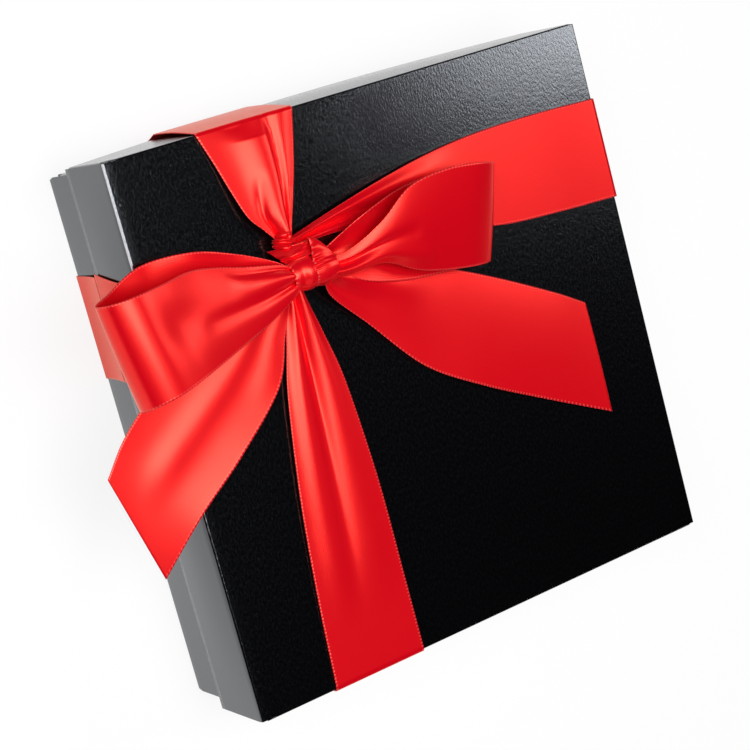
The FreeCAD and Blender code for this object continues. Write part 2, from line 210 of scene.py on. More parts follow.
def paperGrainGroup():
    # pressed paper: long mottled grain, fine tooth and broad unevenness, as a height and a mask
    look = grainLook
    group, given, result = newGroup(
        "paperGrain",
        [("Vector", "NodeSocketVector", None), ("Grain", "NodeSocketFloat", look["grain"]),
         ("Stretch", "NodeSocketFloat", look["stretch"])],
        [("Height", "NodeSocketFloat"), ("Mask", "NodeSocketFloat")])
    place = given["Vector"]
    scale = addNode(group, "CombineXYZ", X=1.0, Y=given["Stretch"], Z=1.0).outputs[0]
    longer = addNode(group, "VectorMath", {"operation": "MULTIPLY"})
    setSocket(group, longer.inputs[0], place)
    setSocket(group, longer.inputs[1], scale)
    mottle = noise(group, longer.outputs[0], given["Grain"], 3.0, 0.55)
    tooth = noise(group, place, look["tooth"], 2.0)
    sway = noise(group, place, look["sway"], 1.0, 0.4)
    near = maths(group, "MULTIPLY_ADD", tooth, look["toothShare"], mottle)
    setSocket(group, result["Height"], maths(group, "MULTIPLY_ADD", sway, look["swayShare"], near))
    setSocket(group, result["Mask"], mottle)
    return group


paperGrain = paperGrainGroup()
# the middle range of a noise mask, where nearly all of its values lie
maskRange = (0.3, 0.7)

boardFinish = {
    # the pale colour is painted along the left fold: partly worn coating showing white fibres, partly a
    # painted highlight
    "black": (0.0007, 0.0007, 0.0009, 1), "crackAndHighlightColour": (0.62, 0.62, 0.63, 1), "roughness": (0.11, 0.18),
    "grain": 1500.0, "fibres": 2600.0, "crackAndHighlightShare": 0.62, "fibreShare": 0.6, "crackAndHighlightEdges": (0.62, 0.78),
    "index": 1.85, "tint": (0.87, 0.92, 1.0, 1), "bump": (0.16, 0.0003),
}


def blackBoard():
    # black coated paper on white board; the pale line along the left fold is partly white fibres where the
    # fold is worn and partly a painted highlight
    material, tree, shader = newMaterial("blackBoard")
    look = boardFinish
    place = objectPlace(tree)
    grain = useGroup(tree, paperGrain, Vector=place, Grain=look["grain"])
    # the pale line along the left fold: partly worn coating, partly a painted highlight
    crackAndHighlight = addNode(tree, "Attribute", {"attribute_name": "crackAndHighlight"}).outputs["Fac"]
    fibres = noise(tree, place, look["fibres"], 3.0, 0.7)
    crackAndHighlightLevel = maths(tree, "MULTIPLY", crackAndHighlight, look["crackAndHighlightShare"])
    crackAndHighlightLevel = maths(tree, "MULTIPLY_ADD", fibres, look["fibreShare"], crackAndHighlightLevel)
    crackAndHighlightMask = ramp(tree, crackAndHighlightLevel, *look["crackAndHighlightEdges"])
    colour = mixColour(tree, crackAndHighlightMask, look["black"], look["crackAndHighlightColour"])
    rough = ramp(tree, grain["Mask"], *maskRange, *look["roughness"])
    dress(tree, shader, colour, rough, grain["Height"], *look["bump"])
    shader.inputs["IOR"].default_value = look["index"]
    shader.inputs["Specular Tint"].default_value = look["tint"]
    return material


rawFinish = {
    "dark": (0.10, 0.10, 0.105, 1), "pale": (0.34, 0.33, 0.32, 1),
    "grain": 2400.0, "roughness": 0.85, "bump": (0.4, 0.0002),
}


def rawBoard():
    # the board's cut edge, grey pulp with no coating
    material, tree, shader = newMaterial("rawBoard")
    look = rawFinish
    place = objectPlace(tree)
    grain = useGroup(tree, paperGrain, Vector=place, Grain=look["grain"], Stretch=1.0)
    colour = mixColour(tree, grain["Mask"], look["dark"], look["pale"])
    dress(tree, shader, colour, look["roughness"], grain["Height"], *look["bump"])
    return material


satinFinish = {
    "red": (0.88, 0.0012, 0.012, 1), "deep": (0.70, 0.001, 0.009, 1), "selvedge": (0.95, 0.16, 0.15, 1),
    "stitchPitch": 1.3, "selvedgeWidth": 0.9, "threadPitch": 0.75, "ribbonWidth": 38.0, "threadWander": 6.0,
    "deepShare": 0.2, "stitchShare": 0.6, "roughness": (0.275, 0.305), "index": 1.68, "metallic": 0.38,
    "tint": (1.0, 0.66, 0.33, 1), "sheen": 0.03, "sheenRoughness": 0.4, "sheenTint": (1.0, 0.45, 0.4, 1),
    # heights of stitches, slubs and threads under the bump
    "stitchHigh": 1.5, "slubHigh": 0.08, "threadHigh": 0.12, "bump": (0.16, 0.0002),
}


def redSatin():
    material, tree, shader = newMaterial("redSatin")
    look = satinFinish
    uv = addNode(tree, "UVMap", {"uv_map": "UVMap"}).outputs[0]
    split = addNode(tree, "SeparateXYZ", Vector=uv).outputs
    along, across = split[0], split[1]
    # threads run along the ribbon; their spacing wanders a little
    wander = noise(tree, uv, 160.0, 2.0)
    turns = maths(tree, "MULTIPLY", across, 2 * math.pi / (look["threadPitch"] * mm))
    turns = maths(tree, "MULTIPLY_ADD", wander, look["threadWander"], turns)
    threadWave = maths(tree, "SINE", turns)
    stretchedUv = addNode(tree, "Mapping", Vector=uv, Scale=(140.0, 2400.0, 1.0))
    slub = noise(tree, stretchedUv.outputs[0], 1.0, 3.0)
    # stitched dots along both edges
    middle = look["ribbonWidth"] / 2 * mm
    fromMiddle = maths(tree, "ABSOLUTE", maths(tree, "SUBTRACT", across, middle))
    edge = maths(tree, "SUBTRACT", middle, fromMiddle)
    border = ramp(tree, edge, look["selvedgeWidth"] * mm, look["selvedgeWidth"] * 0.55 * mm)
    stitch = maths(tree, "SINE", maths(tree, "MULTIPLY", along, 2 * math.pi / (look["stitchPitch"] * mm)))
    dots = maths(tree, "MULTIPLY", border, ramp(tree, stitch, 0.1, 0.7))
    cloth = mixColour(tree, ramp(tree, slub, 0.3, 0.72), look["red"], look["deep"])
    softer = mixColour(tree, look["deepShare"], look["red"], cloth)
    stitched = mixColour(tree, maths(tree, "MULTIPLY", dots, look["stitchShare"]), softer, look["selvedge"])
    rough = ramp(tree, slub, *maskRange, *look["roughness"])
    for key, value in (
            ("IOR", "index"), ("Metallic", "metallic"), ("Specular Tint", "tint"), ("Sheen Weight", "sheen"),
            ("Sheen Roughness", "sheenRoughness"), ("Sheen Tint", "sheenTint")):
        shader.inputs[key].default_value = look[value]
    height = maths(tree, "MULTIPLY", threadWave, look["threadHigh"])
    height = maths(tree, "MULTIPLY_ADD", slub, look["slubHigh"], height)
    height = maths(tree, "MULTIPLY_ADD", dots, look["stitchHigh"], height)
    dress(tree, shader, stitched, rough, height, *look["bump"])
    return material


boardMaterial = blackBoard()
rawMaterial = rawBoard()
satinMaterial = redSatin()
print("materials made")


# Folded board box

# what both blanks share: thickness, tabs, clearances, and where along the left fold the pale line sets in,
# partly worn coating and partly a painted highlight
board = {
    "thickness": 0.6, "reliefGap": 0.15, "tab": 22.0, "tabCut": 0.8, "endGap": 0.3, "easing": 3.0,
    "lastRow": 0.12, "crackAndHighlightFrom": 20.0, "crackAndHighlightTo": 70.0, "crackAndHighlightCrest": 0.35, "springPower": 1.5,
}
lidBlank = {
    "halfX": lidHigh[0], "halfY": lidHigh[1], "plate": lidTop, "rim": rimHeight,
    "leftFold": 0.9, "rightFold": 0.8, "endFold": 0.5, "cornerFold": 1.6, "bow": 0.8, "flare": 2.0,
}


def foldProfile(distance, radius):
    # flat, then a quarter circle, then straight down: how far out and how far down a folded flap has come
    turn = np.clip(distance / radius, 0, math.pi / 2)
    past = np.maximum(distance - radius * math.pi / 2, 0)
    before = np.minimum(distance, 0)
    return before + radius * np.sin(turn), radius * (1 - np.cos(turn)) + past


def samples(flat, fold, flap, flatStep, flapStep):
    # blank coordinates from the middle outwards: the flat plate, close steps over the fold, then the flap
    inner = np.linspace(0, flat, int(flat / flatStep) + 1)
    bend = flat + np.linspace(0, fold * math.pi / 2, 10)[1:]
    outer = bend[-1] + np.linspace(0, flap, int(flap / flapStep) + 2)[1:]
    half = np.concatenate([inner, bend, outer])
    return np.concatenate([-half[:0:-1], half])


def foldedBox(name, blank, flip):
    # the blank lies flat as a cross; each flap is turned down round its own fold,
    # and the two end flaps carry corner tabs
    depth = abs(blank["plate"] - blank["rim"])
    widest = max(blank["leftFold"], blank["rightFold"])
    across = samples(blank["halfX"] - widest, widest, depth - widest, 4.0, 2.5)
    fold = blank["endFold"]
    flatY = blank["halfY"] - fold
    # plate with the left and right flaps; narrow last rows keep its shading flat up to the folds
    inner = flatY - board["lastRow"]
    lines = np.concatenate([[-flatY], np.linspace(-inner, inner, 61), [flatY]])
    a, b = np.meshgrid(across, lines, indexing="ij")
    foldX = np.where(a < 0, blank["leftFold"], blank["rightFold"])
    flatX = blank["halfX"] - foldX
    out, drop = foldProfile(np.abs(a) - flatX, foldX)
    hangs = drop > foldX
    bow = blank["bow"] * np.sin(np.pi * np.clip(drop / depth, 0, 1)) * np.cos(b / flatY * math.pi / 2)
    x = np.sign(a) * (flatX + out + bow * hangs)
    wider = (fold - board["endGap"]) * hangs * smooth(0, board["easing"], drop)
    y = b * (1 + wider / flatY)
    main = np.stack([x, y, blank["plate"] + flip * drop], axis=-1)
    # the pale line along the left fold's crest, fading out towards the front: partly worn coating, partly a
    # painted highlight
    crest = board["crackAndHighlightCrest"] * foldX
    crackAndHighlight = np.exp(-((drop - crest) / crest) ** 2) * (np.abs(a) > flatX) * (a < 0)
    crackAndHighlight = crackAndHighlight * smooth(board["crackAndHighlightFrom"], board["crackAndHighlightTo"], b)
    parts, quads, crackAndHighlights = [main.reshape(-1, 3)], [gridQuads(*main.shape[:2])], [crackAndHighlight.reshape(-1)]
    # end flaps with their tabs; the tabs are cut away beside the fold
    corner = blank["cornerFold"]
    flatTab = blank["halfX"] - board["thickness"] - board["reliefGap"] - corner
    wide = samples(flatTab, corner, board["tab"], 4.0, 4.0)
    bend = fold * math.pi / 2
    down = np.concatenate([np.linspace(0, bend, 10), bend + np.linspace(0, depth - fold, 14)[1:]])
    a, d = np.meshgrid(wide, down, indexing="ij")
    out, drop = foldProfile(d, fold)
    sideOut, sideDrop = foldProfile(np.abs(a) - flatTab, corner)
    cut = (np.abs(a) > flatTab + 0.01) & (drop < fold + board["tabCut"])
    keep = ~(cut[:-1, :-1] | cut[1:, 1:] | cut[1:, :-1] | cut[:-1, 1:])
    share = np.clip(drop / depth, 0, 1)
    x = np.sign(a) * (flatTab + sideOut)
    for end in (-1, 1):
        # the flap bellies between its corners, and the back one also springs open towards its rim
        spring = blank["flare"] * (end > 0) * share ** board["springPower"]
        spring = spring + blank["bow"] * np.sin(np.pi * share)
        belly = spring * np.cos(np.clip(a / flatTab, -1, 1) * math.pi / 2) * (drop > fold)
        y = end * (flatY + out + belly - sideDrop)
        flap = np.stack([x, y, blank["plate"] + flip * drop], axis=-1)
        flapQuads = gridQuads(*flap.shape[:2], keep)
        if end < 0:
            flapQuads = flapQuads[:, ::-1]
        quads.append(flapQuads + sum(len(p) for p in parts))
        parts.append(flap.reshape(-1, 3))
        crackAndHighlights.append(np.zeros(flap.shape[0] * flap.shape[1]))
    allQuads = np.vstack(quads)
    if flip > 0:
        allQuads = allQuads[:, ::-1]
    piece = makePiece(name, np.vstack(parts), allQuads, attributes={"crackAndHighlight": np.concatenate(crackAndHighlights)})
    addModifier(piece, "SOLIDIFY", thickness=board["thickness"] * mm, offset=-1.0, material_offset_rim=1)
    piece.data.materials.append(boardMaterial)
    piece.data.materials.append(rawMaterial)
    return piece


lidPiece = foldedBox("lidBoard", lidBlank, -1)
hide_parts("lid")
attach(lidPiece, "lid")

baseBlank = {
    "halfX": baseHigh[0], "halfY": baseHigh[1], "plate": baseLow[2], "rim": baseHigh[2],
    "leftFold": 1.0, "rightFold": 1.0, "endFold": 1.0, "cornerFold": 3.0, "bow": 0.7, "flare": 0.0,
}
basePiece = foldedBox("baseBoard", baseBlank, 1)
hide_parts("base_tray")
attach(basePiece, "base")
print("box folded")


# Ribbon

ribbon = {
    "width": 38.0, "gauge": 0.36, "ease": 0.3, "knot": (-42.0, 44.0), "knotLift": 9.0,
    "tie": (-45.5, 55.8), "tieRadius": 5.5,
    # height of an arm at the tie, least height over the lid, and flat length as a share of its middle line
    "armRise": 4.5, "armLeast": 0.1, "armShare": 0.9,
    # steps between an arm's stations, round the lid's fold and down the skirt, and how soon creases fade
    "armSteps": 24, "turnSteps": 10, "skirtSteps": 24, "fadeIn": 0.12, "fadeOut": 0.25,
}
knotPoint = np.array([*ribbon["knot"], lidTop])
fullWidth = np.linspace(0, ribbon["width"], 61)
middleColumn = len(fullWidth) // 2


def developed(points):
    # distance travelled along a row of points
    return np.concatenate([[0], np.cumsum(np.linalg.norm(np.diff(points, axis=0), axis=1))])


def ribbonPiece(name, surfaces, nodes, body, gauge=None):
    # every surface carries the cloth's own coordinates: metres along its middle and across its flat width
    parts, quads, uvs, count = [], [], [], 0
    for surface, across in surfaces:
        rows, columns = surface.shape[:2]
        travel = developed(surface[:, columns // 2])
        uv = np.stack(np.meshgrid(travel, across, indexing="ij"), axis=-1) * mm
        quads.append(gridQuads(rows, columns) + count)
        parts.append(surface.reshape(-1, 3))
        uvs.append(uv.reshape(-1, 2))
        count += rows * columns
    piece = makePiece(name, np.vstack(parts), np.vstack(quads), np.vstack(uvs))
    addModifier(piece, "SOLIDIFY", thickness=(gauge or ribbon["gauge"]) * mm, offset=0.0)
    piece.data.materials.append(satinMaterial)
    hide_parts(*nodes)
    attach(piece, body)


def creaseField(creases, u, v):
    # ridges and creases: each runs from (u0, v0) to (u1, v1), a bell across with its own width and height
    field = np.zeros_like(u)
    for u0, u1, v0, v1, w0, w1, h0, h1 in creases:
        t = np.clip((u - u0) / (u1 - u0), 0, 1)
        fade = smooth(0, ribbon["fadeIn"], t) if u0 > 0 else 1.0
        fade = fade * (smooth(0, ribbon["fadeOut"], 1 - t) if u1 < 1 else 1.0)
        bell = np.exp(-((v - v0 - (v1 - v0) * t) / (w0 + (w1 - w0) * t)) ** 2)
        field = field + fade * (h0 + (h1 - h0) * t) * bell
    return field


def freeStretch(values):
    # two edges through the stations, straight across between them,
    # then crown, creases and dents along the normal
    outward, sideways = heading(values["heading"])
    rows = throughRows(values["stations"], values["steps"])
    edges = []
    for columns in (rows[:, 0:3], rows[:, 3:6]):
        out = values["start"] + (values["reach"] - values["start"]) * columns[:, :1]
        aside = sideways * columns[:, 1:2] * ribbon["width"]
        edges.append(knotPoint + outward * out + aside + up * columns[:, 2:3] * values["rise"])
    back, front = edges
    normal = unit(np.cross(front - back, np.gradient((back + front) / 2, axis=0))) * values["turn"]
    u, v = np.meshgrid(np.linspace(0, 1, len(rows)), np.linspace(0, 1, len(fullWidth)), indexing="ij")
    lift = rows[:, 6:7] * ribbon["width"] * 4 * v * (1 - v) + creaseField(values["creases"], u, v)
    for centreU, centreV, sizeU, sizeV, depth in values["dents"]:
        lift = lift - depth * np.exp(-((u - centreU) / sizeU) ** 2 - ((v - centreV) / sizeV) ** 2)
    surface = back[:, None] + (front - back)[:, None] * v[..., None] + normal[:, None] * lift[..., None]
    return surface[:, ::-1] if values["turn"] > 0 else surface


leftLoop = {
    "heading": 182.0, "start": 8.2, "reach": 81.0, "rise": 30.0, "turn": 1, "steps": 22,
    # back edge along, aside, up; front edge along, aside, up; crown
    "stations": [
        (-0.05, -0.10, 0.28, -0.05, 0.08, 0.28, 0.01),
        (0.02, -0.22, 0.24, 0.02, 0.12, 0.25, 0.02),
        (0.19, -0.40, 0.19, 0.19, 0.28, 0.20, 0.02),
        (0.41, -0.555, 0.24, 0.44, 0.42, 0.21, 0.02),
        (0.66, -0.59, 0.16, 0.68, 0.48, 0.15, 0.01),
        (0.88, -0.47, 0.30, 0.87, 0.54, 0.26, 0.01),
        (1.00, -0.445, 0.60, 0.94, 0.55, 0.57, 0.01),
        (0.98, -0.44, 0.855, 0.91, 0.52, 0.84, 0.01),
        (0.87, -0.445, 0.95, 0.79, 0.485, 0.93, 0.01),
        (0.71, -0.45, 0.86, 0.63, 0.435, 0.83, 0.01),
        (0.50, -0.445, 0.68, 0.41, 0.36, 0.63, 0.02),
        (0.21, -0.285, 0.48, 0.16, 0.25, 0.46, 0.03),
        (0.02, -0.18, 0.41, 0.01, 0.14, 0.40, 0.03),
        (-0.05, -0.09, 0.37, -0.05, 0.08, 0.36, 0.01),
    ],
    "creases": [
        (0.80, 1.0, 0.34, 0.36, 0.15, 0.15, 0.2, 1.5),
        (0.72, 1.0, 0.60, 0.64, 0.09, 0.10, -0.2, -1.3),
        (0.80, 1.0, 0.12, 0.16, 0.06, 0.08, -0.2, -1.0),
        (0.02, 0.30, 0.30, 0.25, 0.10, 0.16, 1.0, 0.6),
    ],
    "dents": [(0.70, 0.44, 0.05, 0.24, 0.9)],
}
rightLoop = {
    "heading": 2.0, "start": 8.2, "reach": 81.0, "rise": 22.0, "turn": -1, "steps": 20,
    "stations": [
        (-0.05, 0.09, 0.30, -0.05, -0.08, 0.32, 0.01),
        (0.09, 0.20, 0.31, 0.09, -0.13, 0.31, 0.05),
        (0.26, 0.36, 0.58, 0.23, -0.28, 0.32, 0.06),
        (0.54, 0.46, 0.48, 0.48, -0.42, 0.22, 0.04),
        (0.86, 0.43, 0.44, 0.83, -0.51, 0.18, 0.01),
        (1.00, 0.39, 0.75, 0.92, -0.53, 0.28, 0.01),
        (0.89, 0.45, 0.96, 0.80, -0.50, 0.43, 0.02),
        (0.68, 0.51, 0.98, 0.61, -0.42, 0.49, 0.04),
        (0.47, 0.47, 0.93, 0.46, -0.32, 0.52, 0.06),
        (0.29, 0.25, 0.80, 0.29, -0.14, 0.55, 0.05),
        (0.11, 0.10, 0.62, 0.11, -0.12, 0.54, 0.03),
        (-0.05, 0.09, 0.52, -0.05, -0.09, 0.50, 0.01),
    ],
    "creases": [
        (0.66, 1.0, 0.82, 0.72, 0.10, 0.16, 0.4, 1.6),
        (0.70, 1.0, 0.52, 0.44, 0.09, 0.12, -0.5, -1.5),
        (0.0, 0.25, 0.30, 0.25, 0.16, 0.2, 1.2, 0.2),
    ],
    "dents": [],
}
leftTail = {
    "heading": 218.0, "start": 7.0, "reach": 104.0, "rise": 3.0, "turn": -1, "steps": 30,
    "stations": [
        (0.00, -0.12, 0.85, 0.00, 0.03, 0.95, 0.02),
        (0.20, -0.38, 0.90, 0.137, 0.177, 1.50, 0.00),
        (0.38, -0.53, 0.80, 0.312, 0.382, 1.90, -0.01),
        (0.58, -0.59, 0.60, 0.592, 0.418, 1.80, -0.02),
        (0.77, -0.585, 0.40, 0.832, 0.412, 1.10, -0.02),
        (0.915, -0.50, 0.00, 1.08, 0.49, -0.60, 0.00),
    ],
    "creases": [(0.0, 0.5, 0.80, 0.84, 0.14, 0.16, 0.9, 0.3), (0.0, 0.95, 0.52, 0.46, 0.11, 0.16, 0.8, 0.7)],
    "dents": [],
}
rightTail = {
    "heading": 330.0, "start": 7.0, "reach": 135.0, "rise": 3.0, "turn": 1, "steps": 34,
    "stations": [
        (0.00, 0.13, 2.60, 0.01, -0.01, 2.20, 0.03),
        (0.10, 0.22, 1.90, 0.06, -0.12, 1.20, 0.03),
        (0.22, 0.34, 1.10, 0.19, -0.26, 0.60, 0.03),
        (0.38, 0.43, 0.50, 0.40, -0.51, 0.40, 0.02),
        (0.57, 0.48, 0.60, 0.60, -0.56, 0.50, 0.02),
        (0.79, 0.50, 0.42, 0.83, -0.54, 0.34, 0.02),
        (0.91, 0.49, 0.12, 1.08, -0.50, 0.12, 0.01),
    ],
    "creases": [(0.0, 0.5, 0.42, 0.30, 0.12, 0.2, 1.4, 0.4), (0.0, 0.4, 0.72, 0.7, 0.08, 0.14, -0.8, -0.2)],
    "dents": [],
}
for name, node, values, length, held in (
        ("bowLoopLeft", "ribbon_loop_left", leftLoop, 168.0, "gathered"),
        ("bowLoopRight", "ribbon_loop_right", rightLoop, 150.0, "gathered"),
        ("bowTailLeft", "ribbon_tail_left", leftTail, 95.0, "draped"),
        ("bowTailRight", "ribbon_tail_right", rightTail, 125.0, "draped")):
    ribbonPiece(name, [(freeStretch(values), fullWidth)], [node], "ribbon")

armBack = {
    "heading": 90.0, "offset": 45.5, "half": lidHigh[1], "fold": lidBlank["endFold"],
    "slack": 2.1, "rimHalves": (0.5, 0.5),
    # along, left half width, right half width, rise
    "stations": [
        (-0.10, 0.045, 0.10, 0.90), (0.03, 0.14, 0.15, 0.78), (0.18, 0.25, 0.22, 0.62),
        (0.45, 0.335, 0.33, 0.38), (0.72, 0.41, 0.42, 0.18), (1.00, 0.50, 0.50, 0.03)],
    "creases": [
        (0.0, 1.0, 0.66, 0.58, 0.26, 0.26, 3.0, 1.8), (0.0, 1.0, 0.86, 0.72, 0.05, 0.06, -2.4, -0.8),
        (0.0, 0.6, 0.30, 0.48, 0.07, 0.08, -1.5, 0.0), (0.3, 1.0, 0.92, 0.90, 0.12, 0.14, 0.0, 1.3),
        (0.84, 1.0, 0.50, 0.46, 0.17, 0.20, 0.0, -1.8)],
}
armRight = {
    "heading": 0.0, "offset": 51.8, "half": lidHigh[0], "fold": lidBlank["rightFold"],
    "slack": 0.0, "rimHalves": (0.5, 0.5),
    "stations": [
        (-0.03, 0.03, 0.05, 0.75), (0.14, 0.195, 0.03, 0.62), (0.30, 0.33, 0.12, 0.42),
        (0.45, 0.43, 0.28, 0.26), (0.61, 0.49, 0.43, 0.10), (0.80, 0.51, 0.48, 0.10),
        (1.00, 0.50, 0.50, 0.30)],
    "creases": [
        (0.0, 0.55, 0.24, 0.20, 0.14, 0.16, 1.8, 0.3), (0.0, 0.42, 0.55, 0.50, 0.10, 0.10, -0.9, -0.2),
        (0.0, 0.45, 0.80, 0.80, 0.14, 0.16, 1.2, 0.2)],
}
armFront = {
    "heading": 270.0, "offset": -50.5, "half": lidHigh[1], "fold": lidBlank["endFold"],
    "slack": 0.0, "rimHalves": (0.5, 0.5),
    "stations": [
        (0.00, 0.07, 0.06, 0.30), (0.09, 0.125, 0.08, 0.30), (0.19, 0.225, 0.18, 0.28),
        (0.31, 0.33, 0.29, 0.25), (0.55, 0.43, 0.41, 0.16), (0.79, 0.472, 0.472, 0.07),
        (1.00, 0.50, 0.50, 0.03)],
    "creases": [
        (0.0, 0.9, 0.24, 0.28, 0.20, 0.22, 2.2, 0.5), (0.0, 0.9, 0.49, 0.55, 0.07, 0.09, -1.2, -0.2),
        (0.0, 0.9, 0.75, 0.73, 0.14, 0.15, 1.8, 0.6)],
}
armLeft = {
    "heading": 180.0, "offset": -42.5, "half": lidHigh[0], "fold": lidBlank["leftFold"],
    "slack": 0.0, "rimHalves": (0.5, 0.53),
    "stations": [
        (0.00, 0.30, -0.12, 0.45), (0.30, 0.28, 0.08, 0.28), (0.65, 0.42, 0.28, 0.10),
        (1.00, 0.50, 0.40, 0.03)],
    "creases": [(0.0, 0.7, 0.4, 0.4, 0.12, 0.14, 0.9, 0.2)],
}


def bandArm(values):
    # from the tie the band fans out over the lid, turns over the lid's fold and runs down the skirt
    # to its rim; its creases fade on the skirt
    outward, sideways = heading(values["heading"])
    turnRadius = values["fold"] + ribbon["ease"] + ribbon["gauge"] / 2
    edge = values["half"] - values["fold"]
    gather = np.array([*ribbon["tie"], 0.0])
    near = gather @ outward + ribbon["tieRadius"] + ribbon["ease"]
    drift = gather @ sideways
    rows = throughRows(values["stations"], ribbon["armSteps"])
    out = near + (edge - near) * rows[:, 0]
    aside = drift + (values["offset"] - drift) * rows[:, 0]
    flat = lidTop + ribbon["ease"] + ribbon["gauge"] / 2
    turn = np.linspace(0, math.pi / 2, ribbon["turnSteps"])[1:]
    skirt = np.linspace(0, 1, ribbon["skirtSteps"])[1:]
    turnTop = flat - turnRadius
    belly = lidBlank["bow"] * np.sin(math.pi * skirt) + values["slack"] * skirt ** board["springPower"]
    spineOut = np.concatenate([out, edge + turnRadius * np.sin(turn), edge + turnRadius + belly])
    spineUp = np.concatenate([
        flat + rows[:, 3] * ribbon["armRise"], turnTop + turnRadius * np.cos(turn),
        turnTop + (rimHeight - turnTop) * skirt])
    past = np.concatenate([np.zeros(len(turn)), skirt])
    spineAside = np.concatenate([aside, np.full(len(past), values["offset"])])
    halves = []
    for side in (0, 1):
        edgeHalf = rows[-1, 1 + side] + (values["rimHalves"][side] - rows[-1, 1 + side]) * past
        halves.append(np.concatenate([rows[:, 1 + side], edgeHalf]) * ribbon["width"])
    u = np.concatenate([rows[:, 0], np.ones(len(past))])
    u, v = np.meshgrid(u, np.linspace(0, 1, len(fullWidth)), indexing="ij")
    place = spineAside[:, None] + halves[0][:, None] - (halves[0] + halves[1])[:, None] * v
    lowest = -ribbon["armLeast"] - ribbon["armRise"] * np.interp(u, rows[:, 0], rows[:, 3])
    fade = np.concatenate([np.ones(len(rows)), 1 - past])[:, None]
    lift = np.maximum(creaseField(values["creases"], u, v), lowest) * fade
    surface = outward * spineOut[:, None, None] + sideways * place[..., None]
    surface = surface + up * (spineUp[:, None] + lift)[..., None]
    return surface[:, ::-1]


for name, node, values in (
        ("bandBack", "ribbon_arm_back", armBack), ("bandRight", "ribbon_arm_right", armRight),
        ("bandFront", "ribbon_arm_front", armFront), ("bandLeft", "ribbon_arm_left", armLeft)):
    surface = bandArm(values)
    length = developed(surface[:, middleColumn])[-1] * ribbon["armShare"]
    ribbonPiece(name, [(surface, fullWidth)], [node], "ribbon")

straps = {
    "gauge": 0.17, "levels": (0.10, 0.29), "cornerTurn": 0.6, "sag": 0.5, "wallGap": 0.1, "rimGap": 0.2,
    "flatSteps": 30, "turnSteps": 8, "climbSteps": 20,
    # the band along the depth and the band across the width: where each lies aside at both ends
    "along": (-50.5, -45.5), "across": (42.5, 51.8), "backSlack": 2.1,
}


def bandBelow(axis, level, ends):
    # up the wall at one end, under the base and up the other wall;
    # it bridges from the lid's rim to the bottom edge
    side = 1 - axis
    low = baseHigh[axis] + ribbon["ease"] + straps["wallGap"]
    high = lidHigh[axis] + ribbon["ease"] + straps["rimGap"]
    radius = straps["cornerTurn"]
    flat = np.linspace(0, low - radius, straps["flatSteps"])
    turn = np.linspace(0, math.pi / 2, straps["turnSteps"])[1:]
    climb = np.linspace(0, 1, straps["climbSteps"])[1:]
    out = np.concatenate([flat, low - radius + radius * np.sin(turn),
                          low + (high - low) * climb - straps["sag"] * np.sin(np.pi * climb)])
    rise = np.concatenate([np.zeros(len(flat)), radius * (1 - np.cos(turn)),
                           radius + (rimHeight - ribbon["ease"] - level - radius) * climb])
    out = np.concatenate([-out[:0:-1], out])
    rise = np.concatenate([rise[:0:-1], rise])
    if axis == 1:
        climbed = np.clip((rise - radius) / (rimHeight - radius), 0, 1)
        out = out + straps["backSlack"] * (out > 0) * climbed ** 2
    rise = level + rise
    middle = ends[0] + (ends[1] - ends[0]) * np.clip(0.5 + 0.5 * out / low, 0, 1)
    v = np.linspace(-0.5, 0.5, len(fullWidth)) * ribbon["width"]
    surface = np.zeros((len(out), len(fullWidth), 3))
    surface[..., axis] = out[:, None]
    surface[..., side] = middle[:, None] + v
    surface[..., 2] = rise[:, None]
    return surface if axis == 1 else surface[:, ::-1]


for name, axis, level, ends, risers in (
        ("strapAlong", 1, straps["levels"][0], straps["along"], ("ribbon_riser_back", "ribbon_riser_front")),
        ("strapAcross", 0, straps["levels"][1], straps["across"],
         ("ribbon_riser_left", "ribbon_riser_right"))):
    surface = bandBelow(axis, level, ends)
    length = developed(surface[:, middleColumn])[-1]
    ribbonPiece(name, [(surface, fullWidth)], [*risers, "ribbon_underside"], "base",
                straps["gauge"])

knotWrap = {
    "heading": 2.0, "radius": 6.0, "middle": -2.2, "half": 5.2, "waist": 0.9, "from": -80.0, "to": 262.0,
    "narrow": 0.2, "narrowing": (110.0, 200.0), "outerLayer": (0.6, 0.1), "aside": 1.4, "slant": 0.17,
    "dent": (104.0, 46.0, -3.6, 1.5, 0.6),
    # across the folded ribbon: place along the bow, and depth under the outer layer
    "folds": [
        (-6.9, 0.20), (-6.4, 0.00), (-3.0, 0.00), (0.0, 0.00), (0.8, 0.15), (0.8, 0.60), (0.0, 0.75),
        (-3.0, 0.75), (-5.6, 0.75), (-6.1, 0.90), (-6.1, 1.25), (-5.6, 1.40), (-2.0, 1.40), (1.8, 1.30),
        (2.7, 1.45), (2.7, 2.00), (1.8, 2.10), (-2.0, 2.10), (-5.0, 2.10)],
    # the column that is measured along the wrap, and the flat length as a share of it
    "outerColumn": 20, "lengthShare": 1.25,
}


